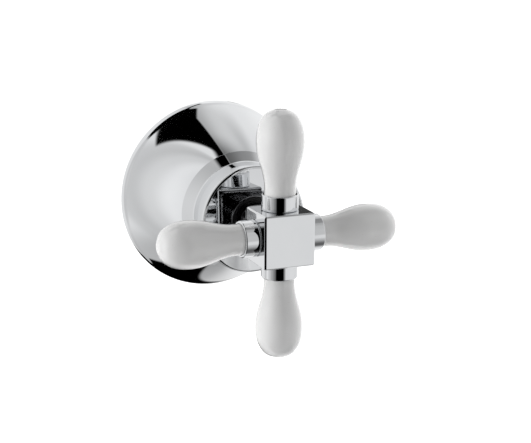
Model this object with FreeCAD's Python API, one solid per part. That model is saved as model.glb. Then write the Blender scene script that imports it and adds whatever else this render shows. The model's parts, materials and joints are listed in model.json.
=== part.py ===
import FreeCAD, Part
import math
import os

# Concealed stop valve with a cross handle of four porcelain levers.
# Millimetres. The spindle axis is the Y axis, Z is up and the wall surface is the
# plane y = 0. The room is at negative y. A "reach" is a distance in front of the wall
# surface, so it is negative for what lies inside the wall.

V = FreeCAD.Vector
ORIGIN = V(0, 0, 0)
ALONG_X = V(1, 0, 0)
ALONG_Y = V(0, 1, 0)
ALONG_Z = V(0, 0, 1)
FULL_TURN = 360.0
LEVER_NAMES = ("top", "right", "bottom", "left")
QUARTER_TURN = FULL_TURN / len(LEVER_NAMES)
cut_overrun = 1.0

# Clearances
thread_clearance = 0.05
running_clearance = 0.06
sliding_clearance = 0.1
seal_clearance = 0.05
butt_gap = 0.2

# Escutcheon: a domed cover with a beaded rim, a flat ledge and a hole for the sleeve
rim_radius = 35.0
rim_bead_height = 2.6
rim_bead_inset = 0.9
rim_bead_bulge = 0.22
dome_height = 28.4
dome_bulge = 0.6
ledge_width = 6.9
escutcheon_wall = 1.6
ledge_thickness = 1.9
guide_collar_wall = 2.7
guide_collar_height = 4.5
guide_collar_clearance = 0.3
wall_gasket_width = 2.2
wall_gasket_height = 2.1
sleeve_seal_section = 0.55

# Collar nut: a straight ring with a sloping foot and a flat face, which clamps the
# escutcheon to the wall
collar_wall = 4.05
collar_flare = 0.15
collar_height = 14.2
collar_foot_height = 4.1
collar_foot_inset = 0.1
collar_foot_land = 0.25
collar_foot_round = 3.0
collar_edge_round = 0.6
collar_thread_length = 9.0
collar_face_thickness = 2.4
collar_hole_radius = 8.5
collar_hole_bevel = 0.35

# Guide bush in the collar's hole
bush_recess = 0.9
bush_flange_width = 1.7
bush_flange_thickness = 2.2

# Cover sleeve: a stepped tube from the neck of the body to the collar
sleeve_wall = 1.0
sleeve_inner_clearance = 0.3
sleeve_shoulder_width = 0.8
sleeve_skirt_wall = 1.95
sleeve_skirt_length = 9.0
sleeve_step_length = 3.0
sleeve_step_taper = 1.8

# Valve body: a straight body with two pipe threads, and a neck towards the room
pipe_depth = 20.0
body_half_length = 24.0
port_thread_radius = 9.316
port_thread_depth = 12.0
port_flats = 24.8
port_flats_length = 9.5
PORT_SIDES = 8
barrel_radius = 12.2
neck_wall = 3.8
neck_front_reach = 6.0
chamber_step = 0.6
seat_offset = 4.6
seat_hole_radius = 6.0
seat_lip_height = 0.8
seat_lip_width = 1.1
seat_lip_bevel = 0.5
rear_pocket_length = 13.4
rear_boss_radius = 9.0
rear_boss_wall = 3.6
rear_boss_round = 1.5
inlet_passage_radius = 5.0
inlet_passage_offset = 4.2
outlet_passage_radius = 4.4
outlet_passage_offset = 4.8
outlet_passage_start = 8.0
thread_relief = 0.6

# Headwork: the screwed-in insert that carries the spindle
headwork_gasket_thickness = 1.0
headwork_flange_radius = 12.9
headwork_flange_thickness = 1.5
hexagon_inset = 0.2
hexagon_height = 5.5
hexagon_bevel = 0.9
turret_radius = 7.6
turret_bevel = 0.6
seal_bore_length = 12.0
HEXAGON_SIDES = 6

# Spindle, which turns but doesn't rise
opening_turns = 2.125
thread_lead = 2.0
spindle_thread_radius = 4.4
spindle_flange_radius = 6.2
spindle_flange_thickness = 2.0
spindle_seal_radius = 4.5
spindle_groove_depth = 1.25
spindle_groove_width = 1.9
spindle_groove_pitch = 4.3
spindle_seal_running_gap = 0.03
flange_chamber_clearance = 0.4
thrust_ring_thickness = 0.74
thrust_ring_inset = 0.15
spline_radius = 3.9
spline_depth = 0.45
spline_length = 8.6
SPLINE_TEETH = 20
SPLINE_FLANK_SHARES = (("root", -0.4), ("tip", -0.21), ("tip", 0.21), ("root", 0.4))
circlip_play = 0.15
circlip_thickness = 0.9
circlip_groove_depth = 0.8
circlip_width = 2.15
circlip_gap = 3.2
spindle_head_length = 1.6

# Piston, which slides on its six flats and carries the rubber washer
piston_flats = 13.0
piston_shank_length = 10.5
piston_flow_gap = 1.0
piston_disc_thickness = 2.4
piston_cup_depth = 1.8
piston_cup_wall = 0.7
piston_floor_thickness = 3.0
piston_end_gap = 0.35
spindle_end_gap = 0.25
piston_top_gap = 0.45
washer_thickness = 3.2
washer_screw_radius = 1.95
washer_screw_head_radius = 3.6
washer_screw_head_height = 2.3
washer_screw_length = 2.1
screw_slot_width = 1.0
screw_slot_depth = 0.9

# Hub: a square block with a back plate and a round boss
hub_side = 17.7
hub_depth = 16.0
hub_edge_bevel = 0.55
back_plate_side = 16.3
back_plate_depth = 3.0
boss_radius = 6.5
boss_engagement = 5.0
boss_end_bevel = 0.4
hub_gap = 12.3
lever_axis_set_back = 8.8

# Spindle extension, from the spindle's spline to the hub
extension_radius = 5.6
insert_radius = 3.95
insert_length = 19.0
insert_flat_depth = 0.75
insert_bore_spare = 0.4
extension_rear_bevel = 0.5
screw_shank_radius = 1.95
screw_head_radius = 2.9
screw_head_height = 2.8
screw_head_well = 3.8
screw_thread_engagement = 6.2
screw_hexagon_flats = 2.5
screw_hexagon_depth = 1.6
grub_screw_radius = 1.95
grub_hexagon_flats = 2.0
grub_hexagon_depth = 1.5

# Levers with their ferrules, cushions and studs. Places are measured from the hub's axis
ferrule_seat_clearance = 0.15
ferrule_length = 5.15
ferrule_wall = 0.8
ferrule_floor = 1.5
ferrule_edge_round = 0.45
cushion_thickness = 0.6
lever_neck_radius = 5.15
lever_bulb_radius = 7.9
lever_bulb_place = 31.0
lever_reach = 41.8
lever_straight_length = 5.0
LEVER_CAP_POWER = 2.4
LEVER_SWELL_STEPS = 7
LEVER_CAP_STEPS = 6
stud_radius = 2.5
stud_in_hub = 4.8
stud_in_lever = 13.0

# Radii, worked out from the sizes above
sleeve_front_bore = headwork_flange_radius + sleeve_inner_clearance
sleeve_front_radius = sleeve_front_bore + sleeve_wall
neck_radius = sleeve_front_bore + sleeve_shoulder_width
neck_bore_radius = neck_radius + thread_clearance
sleeve_skirt_radius = neck_bore_radius + sleeve_skirt_wall
sleeve_hole_radius = sleeve_front_radius + guide_collar_clearance
ledge_radius = sleeve_hole_radius + ledge_width
collar_thread_bore = sleeve_front_radius + thread_clearance
collar_foot_radius = ledge_radius - collar_foot_inset
collar_waist_radius = collar_thread_bore + collar_wall
collar_front_radius = collar_waist_radius + collar_flare
bush_flange_radius = collar_hole_radius + bush_flange_width
headwork_thread_radius = neck_radius - neck_wall
chamber_radius = headwork_thread_radius - chamber_step
piston_disc_radius = chamber_radius - piston_flow_gap
hexagon_corner_radius = headwork_flange_radius - hexagon_inset
hexagon_flats = 2 * hexagon_corner_radius * math.cos(math.pi / HEXAGON_SIDES)
spindle_seal_bore = spindle_seal_radius + thread_clearance
spindle_groove_floor = spindle_seal_radius - spindle_groove_depth
spindle_seal_section = (spindle_seal_bore - spindle_seal_running_gap - spindle_groove_floor) / 2
insert_bore_radius = insert_radius + thread_clearance
screw_bore_radius = screw_shank_radius + thread_clearance
ferrule_inner_radius = lever_neck_radius + ferrule_seat_clearance
ferrule_radius = ferrule_inner_radius + ferrule_wall

# Places along the spindle axis, worked out from the sizes above
ledge_reach = dome_height
collar_front_reach = ledge_reach + collar_height
collar_face_rear = collar_front_reach - collar_face_thickness
sleeve_front_reach = ledge_reach + collar_thread_length
sleeve_rear_reach = neck_front_reach - sleeve_skirt_length
seat_face_reach = seat_offset - pipe_depth
lip_reach = seat_face_reach + seat_lip_height
washer_top = lip_reach + washer_thickness
disc_top = washer_top + piston_disc_thickness
piston_top = disc_top + piston_shank_length
stroke = thread_lead * opening_turns
headwork_rear_reach = disc_top + stroke + piston_end_gap
nut_bore_floor = washer_top + piston_floor_thickness
spindle_rear_reach = nut_bore_floor + stroke + spindle_end_gap
spindle_flange_rear = piston_top + stroke + piston_top_gap
spindle_flange_front = spindle_flange_rear + spindle_flange_thickness
seal_bore_rear = spindle_flange_front + running_clearance + thrust_ring_thickness
turret_front = seal_bore_rear + seal_bore_length
headwork_flange_rear = neck_front_reach + headwork_gasket_thickness
headwork_flange_front = headwork_flange_rear + headwork_flange_thickness
hexagon_front = headwork_flange_front + hexagon_height
circlip_rear = turret_front + circlip_play
spline_rear = turret_front + spindle_head_length
spline_front = spline_rear + spline_length
extension_rear = spline_rear + butt_gap
boss_end_reach = collar_front_reach - boss_engagement
extension_shoulder = boss_end_reach - butt_gap
insert_front = extension_shoulder + insert_length
hub_bore_floor = insert_front + insert_bore_spare
back_plate_rear = collar_front_reach + hub_gap
hub_rear = back_plate_rear + back_plate_depth
hub_front = hub_rear + hub_depth
lever_axis_reach = hub_front - lever_axis_set_back
grub_screw_reach = (collar_front_reach + back_plate_rear) / 2


def point(radius, reach):
    """A point of a turned outline, on the side of positive X."""
    return V(radius, -reach, 0)


def outline_edges(start, steps):
    """Edges through (radius, reach) points. A step that holds two points is an arc."""
    edges = []
    here = start
    for step in steps:
        if isinstance(step[0], tuple):
            middle, end = step
            edges.append(Part.Arc(point(*here), point(*middle), point(*end)).toShape())
        else:
            end = step
            edges.append(Part.makeLine(point(*here), point(*end)))
        here = end
    edges.append(Part.makeLine(point(*here), point(*start)))
    return edges


def turned(start, *steps):
    """A solid turned about the spindle axis from a closed outline."""
    face = Part.Face(Part.Wire(outline_edges(start, steps)))
    return face.revolve(ORIGIN, ALONG_Y, FULL_TURN)


def disc(radius, rear, front):
    """A cylinder on the spindle axis, between two reaches."""
    return Part.makeCylinder(radius, front - rear, point(0, front), ALONG_Y)


def ring(outer, inner, rear, front):
    """A plain ring on the spindle axis."""
    bore = disc(inner, rear - cut_overrun, front + cut_overrun)
    return disc(outer, rear, front).cut(bore)


def bevelled(radius, rear, front, bevel):
    """A cylinder on the spindle axis whose front edge is bevelled."""
    bevel_start = front - bevel
    return turned((0, rear), (radius, rear), (radius, bevel_start), (radius - bevel, front), (0, front))


def prism(sides, flats, rear, front):
    """A regular prism on the spindle axis, with the distance across its flats."""
    corner = flats / 2 / math.cos(math.pi / sides)
    corners = []
    for index in range(sides + 1):
        angle = 2 * math.pi * (index + 0.5) / sides
        corners.append(V(corner * math.cos(angle), -rear, corner * math.sin(angle)))
    face = Part.Face(Part.makePolygon(corners))
    return face.extrude(V(0, rear - front, 0))


def splined(tip_radius, root_radius, rear, front):
    """A shaft with straight-sided teeth, on the spindle axis."""
    pitch = 2 * math.pi / SPLINE_TEETH
    corners = []
    for tooth in range(SPLINE_TEETH):
        middle = pitch * tooth
        for circle, half_share in SPLINE_FLANK_SHARES:
            radius = tip_radius if circle == "tip" else root_radius
            angle = middle + pitch * half_share
            corners.append(V(radius * math.cos(angle), -rear, radius * math.sin(angle)))
    face = Part.Face(Part.makePolygon(corners + corners[:1]))
    return face.extrude(V(0, rear - front, 0))


def seal_ring(section, centre_radius, reach):
    """A rubber ring of round section on the spindle axis."""
    return Part.makeTorus(centre_radius, section, point(0, reach), ALONG_Y)


def bulged_middle(first, last, bulge):
    """The middle point of an arc between two outline points, pushed out by the bulge."""
    run = last[0] - first[0]
    rise = last[1] - first[1]
    chord = math.hypot(run, rise)
    radius = (first[0] + last[0]) / 2 + bulge * rise / chord
    reach = (first[1] + last[1]) / 2 - bulge * run / chord
    return radius, reach


def escutcheon():
    rim = (rim_radius, 0)
    bead_top = (rim_radius - rim_bead_inset, rim_bead_height)
    ledge_edge = (ledge_radius, ledge_reach)
    inner_ledge = (ledge_radius - escutcheon_wall, ledge_reach - ledge_thickness)
    inner_foot = (rim_radius - rim_bead_inset - escutcheon_wall, rim_bead_height)
    inner_rim = (rim_radius - escutcheon_wall, 0)
    guide_outer = sleeve_hole_radius + guide_collar_wall
    guide_rear = ledge_reach - guide_collar_height
    shell = turned(
        rim,
        (bulged_middle(rim, bead_top, rim_bead_bulge), bead_top),
        (bulged_middle(bead_top, ledge_edge, dome_bulge), ledge_edge),
        (sleeve_hole_radius, ledge_reach),
        (sleeve_hole_radius, guide_rear),
        (guide_outer, guide_rear),
        (guide_outer, inner_ledge[1]),
        inner_ledge,
        (bulged_middle(inner_ledge, inner_foot, -dome_bulge), inner_foot),
        inner_rim,
    )
    groove_middle = seal_groove_reach()
    half_groove = sleeve_seal_section + sliding_clearance
    groove = ring(seal_groove_radius(), 0, groove_middle - half_groove, groove_middle + half_groove)
    return shell.cut(groove)


def seal_groove_reach():
    """The middle of the groove in the escutcheon's hole."""
    return ledge_reach - guide_collar_height / 2


def seal_groove_radius():
    """The floor of that groove, which leaves room for the seal round the sleeve."""
    return sleeve_front_radius + 2 * sleeve_seal_section + 2 * seal_clearance


def escutcheon_seal():
    centre = sleeve_front_radius + seal_clearance + sleeve_seal_section
    return seal_ring(sleeve_seal_section, centre, seal_groove_reach())


def wall_gasket():
    foot = rim_radius - escutcheon_wall - seal_clearance
    lean = rim_bead_inset * wall_gasket_height / rim_bead_height
    inner = foot - wall_gasket_width
    return turned(
        (inner, 0),
        (foot, 0),
        (foot - lean, wall_gasket_height),
        (inner - lean, wall_gasket_height),
    )


def rounded_corner(before, corner, after, radius):
    """The start of the arc that rounds a corner of an outline, and the arc's step."""
    place = V(*corner, 0)
    back = (V(*before, 0) - place).normalize()
    ahead = (V(*after, 0) - place).normalize()
    half_angle = back.getAngle(ahead) / 2
    run = radius / math.tan(half_angle)
    depth = radius / math.sin(half_angle) - radius
    start = place + back * run
    middle = place + (back + ahead).normalize() * depth
    end = place + ahead * run
    return (start.x, start.y), ((middle.x, middle.y), (end.x, end.y))


def collar():
    land = (collar_foot_radius, ledge_reach + collar_foot_land)
    waist = (collar_waist_radius, ledge_reach + collar_foot_height)
    shoulder = (collar_front_radius, collar_front_reach - collar_edge_round)
    slope_end, foot_round = rounded_corner(land, waist, shoulder, collar_foot_round)
    round_middle = (
        shoulder[0] - collar_edge_round * (1 - math.sqrt(0.5)),
        shoulder[1] + collar_edge_round * math.sqrt(0.5),
    )
    rest = sleeve_front_reach + butt_gap
    return turned(
        (collar_foot_radius, ledge_reach),
        land,
        slope_end,
        foot_round,
        shoulder,
        (round_middle, (collar_front_radius - collar_edge_round, collar_front_reach)),
        (collar_hole_radius + collar_hole_bevel, collar_front_reach),
        (collar_hole_radius, collar_front_reach - collar_hole_bevel),
        (collar_hole_radius, collar_face_rear),
        (sleeve_front_bore, collar_face_rear),
        (sleeve_front_bore, rest),
        (collar_thread_bore, rest),
        (collar_thread_bore, ledge_reach),
    )


def guide_bush():
    bore = boss_radius + running_clearance
    outer = collar_hole_radius - thread_clearance
    flange_rear = collar_face_rear - bush_flange_thickness
    front = collar_front_reach - bush_recess
    return turned(
        (bore, flange_rear),
        (bush_flange_radius, flange_rear),
        (bush_flange_radius, collar_face_rear),
        (outer, collar_face_rear),
        (outer, front),
        (bore, front),
    )


def cover_sleeve():
    skirt_front = neck_front_reach + sleeve_step_length
    return turned(
        (neck_bore_radius, sleeve_rear_reach),
        (sleeve_skirt_radius, sleeve_rear_reach),
        (sleeve_skirt_radius, skirt_front),
        (sleeve_front_radius, skirt_front + sleeve_step_taper),
        (sleeve_front_radius, sleeve_front_reach),
        (sleeve_front_bore, sleeve_front_reach),
        (sleeve_front_bore, neck_front_reach),
        (neck_bore_radius, neck_front_reach),
    )


def port_end(start):
    """The eight-sided wrench grip at one end of the barrel, which starts at a height."""
    corner = port_flats / 2 / math.cos(math.pi / PORT_SIDES)
    corners = []
    for index in range(PORT_SIDES + 1):
        angle = 2 * math.pi * (index + 0.5) / PORT_SIDES
        corners.append(V(corner * math.cos(angle), pipe_depth + corner * math.sin(angle), start))
    return Part.Face(Part.makePolygon(corners)).extrude(V(0, 0, port_flats_length))


def upright(radius, offset, low, high):
    """An upright cylinder behind the wall, offset from the pipe's axis."""
    return Part.makeCylinder(radius, high - low, V(0, pipe_depth + offset, low))


def valve_body():
    lower_end = port_end(-body_half_length)
    upper_end = port_end(body_half_length - port_flats_length)
    barrel = upright(barrel_radius, 0, -body_half_length, body_half_length)
    neck = disc(neck_radius, -pipe_depth, neck_front_reach)
    pocket_floor = seat_face_reach - rear_pocket_length
    rear_end = pocket_floor - rear_boss_wall
    rear_boss = turned(
        (0, -pipe_depth),
        (0, rear_end),
        (rear_boss_radius - rear_boss_round, rear_end),
        (rear_boss_radius, rear_end + rear_boss_round),
        (rear_boss_radius, -pipe_depth),
    )
    body = barrel.fuse([lower_end, upper_end, neck, rear_boss])
    thread_floor = body_half_length - port_thread_depth
    port = upright(port_thread_radius, 0, thread_floor, body_half_length + cut_overrun)
    lower_port = upright(port_thread_radius, 0, -body_half_length - cut_overrun, -thread_floor)
    inlet = upright(inlet_passage_radius, inlet_passage_offset, -thread_floor - cut_overrun, 0)
    outlet = upright(
        outlet_passage_radius, -outlet_passage_offset, outlet_passage_start, thread_floor + cut_overrun
    )
    pocket = disc(seat_hole_radius, pocket_floor, lip_reach + cut_overrun)
    lip_radius = seat_hole_radius + seat_lip_width
    chamber = disc(chamber_radius, seat_face_reach, neck_front_reach + cut_overrun)
    lip = turned(
        (0, seat_face_reach),
        (lip_radius + seat_lip_bevel, seat_face_reach),
        (lip_radius, lip_reach),
        (0, lip_reach),
    )
    thread_bore = headwork_thread_radius + thread_clearance
    neck_bore = disc(thread_bore, headwork_rear_reach - thread_relief, neck_front_reach + cut_overrun)
    return body.cut([port, lower_port, inlet, outlet, chamber.cut(lip), neck_bore, pocket])


def headwork_gasket():
    inner = headwork_thread_radius + thread_clearance
    return ring(headwork_flange_radius, inner, neck_front_reach, headwork_flange_rear)


def headwork_housing():
    body = turned(
        (0, headwork_rear_reach),
        (headwork_thread_radius, headwork_rear_reach),
        (headwork_thread_radius, headwork_flange_rear),
        (headwork_flange_radius, headwork_flange_rear),
        (headwork_flange_radius, headwork_flange_front),
        (0, headwork_flange_front),
    )
    hexagon = prism(HEXAGON_SIDES, hexagon_flats, headwork_flange_front, hexagon_front)
    round_top = bevelled(hexagon_corner_radius, headwork_flange_front, hexagon_front, hexagon_bevel)
    hexagon = hexagon.common(round_top)
    turret = bevelled(turret_radius, hexagon_front, turret_front, turret_bevel)
    body = body.fuse([hexagon, turret])
    slide_flats = piston_flats + 2 * sliding_clearance
    slide = prism(HEXAGON_SIDES, slide_flats, headwork_rear_reach - cut_overrun, spindle_flange_rear)
    chamber = disc(spindle_flange_radius + flange_chamber_clearance, spindle_flange_rear, seal_bore_rear)
    seal_bore = disc(spindle_seal_bore, seal_bore_rear - cut_overrun, turret_front + cut_overrun)
    return body.cut([slide, chamber, seal_bore])


def groove_reaches():
    """The middles of the spindle's two seal grooves."""
    middle = (seal_bore_rear + turret_front) / 2
    return middle - spindle_groove_pitch / 2, middle + spindle_groove_pitch / 2


def spindle():
    stem = turned(
        (0, spindle_rear_reach),
        (spindle_thread_radius, spindle_rear_reach),
        (spindle_thread_radius, spindle_flange_rear),
        (spindle_flange_radius, spindle_flange_rear),
        (spindle_flange_radius, spindle_flange_front),
        (spindle_seal_radius, spindle_flange_front),
        (spindle_seal_radius, spline_rear),
        (0, spline_rear),
    )
    stem = stem.fuse(splined(spline_radius, spline_radius - spline_depth, spline_rear, spline_front))
    tools = []
    for middle in groove_reaches():
        rear = middle - spindle_groove_width / 2
        front = rear + spindle_groove_width
        tools.append(ring(spindle_seal_radius + cut_overrun, spindle_groove_floor, rear, front))
    clip_floor = spindle_seal_radius - circlip_groove_depth
    clip_front = circlip_rear + circlip_thickness + seal_clearance
    tools.append(ring(spindle_seal_radius + cut_overrun, clip_floor, circlip_rear, clip_front))
    bore_rear = spline_front - screw_thread_engagement - butt_gap
    tools.append(disc(screw_bore_radius, bore_rear, spline_front + cut_overrun))
    return stem.cut(tools)


def spindle_seals():
    centre = spindle_groove_floor + spindle_seal_section
    rings = [seal_ring(spindle_seal_section, centre, reach) for reach in groove_reaches()]
    return Part.makeCompound(rings)


def thrust_ring():
    outer = spindle_flange_radius + flange_chamber_clearance - thrust_ring_inset
    rear = spindle_flange_front + running_clearance
    return ring(outer, spindle_seal_bore + thrust_ring_inset, rear, seal_bore_rear)


def spindle_circlip():
    inner = spindle_seal_radius - circlip_groove_depth + seal_clearance
    outer = inner + circlip_width
    clip = ring(outer, inner, circlip_rear, circlip_rear + circlip_thickness)
    opening = Part.makeBox(
        circlip_gap, circlip_thickness + 2 * cut_overrun, outer + cut_overrun,
        V(-circlip_gap / 2, -circlip_rear - circlip_thickness - cut_overrun, 0),
    )
    return clip.cut(opening)


def piston():
    shank = prism(HEXAGON_SIDES, piston_flats, disc_top, piston_top)
    cup_end = washer_top - piston_cup_depth
    head = turned(
        (0, disc_top),
        (piston_disc_radius, disc_top),
        (piston_disc_radius, cup_end),
        (piston_disc_radius - piston_cup_wall, cup_end),
        (piston_disc_radius - piston_cup_wall, washer_top),
        (0, washer_top),
    )
    nut_bore = disc(spindle_thread_radius + thread_clearance, nut_bore_floor, piston_top + cut_overrun)
    screw_hole_end = washer_top + washer_screw_length + thread_clearance
    screw_hole = disc(washer_screw_radius + thread_clearance, washer_top - cut_overrun, screw_hole_end)
    return shank.fuse(head).cut([nut_bore, screw_hole])


def seat_washer():
    outer = piston_disc_radius - piston_cup_wall - seal_clearance
    return ring(outer, washer_screw_radius + thread_clearance, lip_reach, washer_top)


def washer_screw():
    head_end = lip_reach - washer_screw_head_height
    shape = turned(
        (0, head_end),
        (washer_screw_head_radius, head_end),
        (washer_screw_head_radius, lip_reach),
        (washer_screw_radius, lip_reach),
        (washer_screw_radius, washer_top + washer_screw_length),
        (0, washer_top + washer_screw_length),
    )
    slot_length = 2 * (washer_screw_head_radius + cut_overrun)
    slot = Part.makeBox(
        slot_length, screw_slot_depth + cut_overrun, screw_slot_width,
        V(-slot_length / 2, -head_end - screw_slot_depth, -screw_slot_width / 2),
    )
    return shape.cut(slot)


def spindle_extension():
    shape = turned(
        (0, extension_rear),
        (extension_radius - extension_rear_bevel, extension_rear),
        (extension_radius, extension_rear + extension_rear_bevel),
        (extension_radius, extension_shoulder),
        (insert_radius, extension_shoulder),
        (insert_radius, insert_front),
        (0, insert_front),
    )
    tip = spline_radius + seal_clearance
    root = spline_radius - spline_depth + seal_clearance
    socket_end = spline_front + butt_gap
    socket = splined(tip, root, extension_rear - cut_overrun, socket_end)
    bore = disc(screw_bore_radius, socket_end - cut_overrun, insert_front)
    well_radius = screw_head_radius + sliding_clearance
    well = disc(well_radius, insert_front - screw_head_well, insert_front + cut_overrun)
    flat_top = -insert_radius + insert_flat_depth
    flat = Part.makeBox(
        2 * insert_radius, insert_length, insert_radius,
        V(-insert_radius, -insert_front, flat_top - insert_radius),
    )
    return shape.cut([socket, bore, well, flat])


def extension_screw():
    head_rear = insert_front - screw_head_well
    tip = spline_front - screw_thread_engagement
    head = disc(screw_head_radius, head_rear, head_rear + screw_head_height)
    shank = disc(screw_shank_radius, tip, head_rear)
    socket_rear = head_rear + screw_head_height - screw_hexagon_depth
    socket = prism(HEXAGON_SIDES, screw_hexagon_flats, socket_rear, insert_front)
    return head.fuse(shank).cut(socket)


def square_block(side, depth, rear, bevel):
    """A square block on the spindle axis with a bevel along every edge."""
    block = Part.makeBox(side, depth, side, V(-side / 2, -rear - depth, -side / 2))
    return block.makeChamfer(bevel, block.Edges)


def around_hub(shape, index):
    """The top lever's piece, turned to one of the four places."""
    placed = shape.copy()
    placed.translate(V(0, -lever_axis_reach, 0))
    placed.rotate(V(0, -lever_axis_reach, 0), ALONG_Y, QUARTER_TURN * index)
    return placed


def hub():
    block = square_block(hub_side, hub_depth, hub_rear, hub_edge_bevel)
    plate_depth = back_plate_depth + hub_edge_bevel
    plate = square_block(back_plate_side, plate_depth, back_plate_rear, hub_edge_bevel)
    boss = turned(
        (0, boss_end_reach),
        (boss_radius - boss_end_bevel, boss_end_reach),
        (boss_radius, boss_end_reach + boss_end_bevel),
        (boss_radius, hub_rear),
        (0, hub_rear),
    )
    body = block.fuse([plate, boss])
    bore = disc(insert_bore_radius, boss_end_reach - cut_overrun, hub_bore_floor)
    hole_bottom = hub_side / 2 - stud_in_hub - butt_gap
    stud_hole = Part.makeCylinder(
        stud_radius + thread_clearance, hub_side, V(0, 0, hole_bottom)
    )
    holes = [around_hub(stud_hole, index) for index in range(len(LEVER_NAMES))]
    grub_hole_length = boss_radius + cut_overrun
    grub_hole = Part.makeCylinder(
        grub_screw_radius + thread_clearance, grub_hole_length, point(0, grub_screw_reach), -ALONG_Z
    )
    return body.cut([bore, grub_hole] + holes)


def hub_grub_screw():
    start = insert_radius - insert_flat_depth + seal_clearance
    end = math.sqrt(boss_radius ** 2 - grub_screw_radius ** 2)
    place = V(0, -grub_screw_reach, -start)
    body = Part.makeCylinder(grub_screw_radius, end - start, place, -ALONG_Z)
    socket = prism(HEXAGON_SIDES, grub_hexagon_flats, 0, grub_hexagon_depth + cut_overrun)
    socket.rotate(ORIGIN, ALONG_X, -QUARTER_TURN)
    socket.translate(V(0, -grub_screw_reach, -end - cut_overrun))
    return body.cut(socket)


def upright_turned(start, *steps):
    """A solid turned about the Z axis from a closed outline of (radius, height) points."""
    shape = turned(start, *steps)
    shape.rotate(ORIGIN, ALONG_X, -QUARTER_TURN)
    return shape


def ferrule():
    foot = hub_side / 2
    floor = foot + ferrule_floor
    mouth = foot + ferrule_length
    edge = ferrule_radius - ferrule_edge_round
    round_share = math.sqrt(0.5)
    low_middle = (edge + ferrule_edge_round * round_share, foot + ferrule_edge_round * (1 - round_share))
    high_middle = (edge + ferrule_edge_round * round_share, mouth - ferrule_edge_round * (1 - round_share))
    return upright_turned(
        (stud_radius + thread_clearance, foot),
        (edge, foot),
        (low_middle, (ferrule_radius, foot + ferrule_edge_round)),
        (ferrule_radius, mouth - ferrule_edge_round),
        (high_middle, (edge, mouth)),
        (ferrule_inner_radius, mouth),
        (ferrule_inner_radius, floor),
        (stud_radius + thread_clearance, floor),
    )


def cushion():
    floor = hub_side / 2 + ferrule_floor
    inner = stud_radius + thread_clearance
    outer = ferrule_inner_radius - seal_clearance
    return upright_turned((inner, floor), (outer, floor), (outer, floor + cushion_thickness),
                          (inner, floor + cushion_thickness))


def lever():
    base = hub_side / 2 + ferrule_floor + cushion_thickness
    swell_start = base + lever_straight_length
    points = []
    for step in range(LEVER_SWELL_STEPS + 1):
        part_way = step / LEVER_SWELL_STEPS
        swell = (1 - math.cos(math.pi * part_way)) / 2
        radius = lever_neck_radius + (lever_bulb_radius - lever_neck_radius) * swell
        points.append(V(radius, 0, swell_start + (lever_bulb_place - swell_start) * part_way))
    cap_length = lever_reach - lever_bulb_place
    for step in range(1, LEVER_CAP_STEPS + 1):
        turn = math.pi / 2 * step / LEVER_CAP_STEPS
        radius = lever_bulb_radius * math.cos(turn) ** (2 / LEVER_CAP_POWER)
        height = lever_bulb_place + cap_length * math.sin(turn) ** (2 / LEVER_CAP_POWER)
        points.append(V(0 if step == LEVER_CAP_STEPS else radius, 0, height))
    curve = Part.BSplineCurve()
    curve.interpolate(points, InitialTangent=V(0, 0, 1), FinalTangent=V(-1, 0, 0))
    tip = points[-1]
    edges = [
        Part.makeLine(V(0, 0, base), V(lever_neck_radius, 0, base)),
        Part.makeLine(V(lever_neck_radius, 0, base), points[0]),
        curve.toShape(),
        Part.makeLine(tip, V(0, 0, base)),
    ]
    body = Part.Face(Part.Wire(edges)).revolve(ORIGIN, ALONG_Z, FULL_TURN)
    stud_hole_length = stud_in_lever + butt_gap + cut_overrun
    stud_hole = Part.makeCylinder(
        stud_radius + thread_clearance, stud_hole_length, V(0, 0, base - cut_overrun)
    )
    return body.cut(stud_hole)


def stud():
    low = hub_side / 2 - stud_in_hub
    high = hub_side / 2 + ferrule_floor + cushion_thickness + stud_in_lever
    return Part.makeCylinder(stud_radius, high - low, V(0, 0, low))


def all_four(shape):
    """One piece at each of the four levers, as separate solids."""
    return Part.makeCompound([around_hub(shape, index) for index in range(len(LEVER_NAMES))])


def keep(name, shape):
    print(name, len(shape.Solids), "solid(s),", round(shape.Volume), "mm3, valid", shape.isValid())
    shape.exportStep("parts/" + name + ".step")


os.makedirs("parts", exist_ok=True)
keep("valve_body", valve_body())
keep("headwork_gasket", headwork_gasket())
keep("headwork_housing", headwork_housing())
keep("spindle", spindle())
keep("spindle_seals", spindle_seals())
keep("thrust_ring", thrust_ring())
keep("spindle_circlip", spindle_circlip())
keep("piston", piston())
keep("seat_washer", seat_washer())
keep("washer_screw", washer_screw())
keep("spindle_extension", spindle_extension())
keep("extension_screw", extension_screw())
keep("cover_sleeve", cover_sleeve())
keep("escutcheon", escutcheon())
keep("escutcheon_seal", escutcheon_seal())
keep("wall_gasket", wall_gasket())
keep("collar", collar())
keep("guide_bush", guide_bush())
keep("hub", hub())
keep("hub_grub_screw", hub_grub_screw())
keep("lever_studs", all_four(stud()))
keep("cushion_rings", all_four(cushion()))
for lever_index, lever_name in enumerate(LEVER_NAMES):
    keep("ferrule_" + lever_name, around_hub(ferrule(), lever_index))
    keep("lever_" + lever_name, around_hub(lever(), lever_index))
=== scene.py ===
# %% [markdown]
# # A concealed stop valve with a porcelain cross handle
#
# The valve itself sits in the wall, where two pipes meet it. What the room sees is a
# domed chrome escutcheon, a chrome collar with a sloping foot and a cross handle: a
# square chrome block with four short ferrules, each holding a club-shaped porcelain
# lever.
#
# The solids come from the CAD model, which fixes every size. This notebook gives them
# their finish: mirror chrome, white glaze, cast and turned brass, rubber and plastic.

# %% Load the model
import json
import math

import bmesh
import bpy
from mathutils import Matrix, Quaternion, Vector

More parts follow.
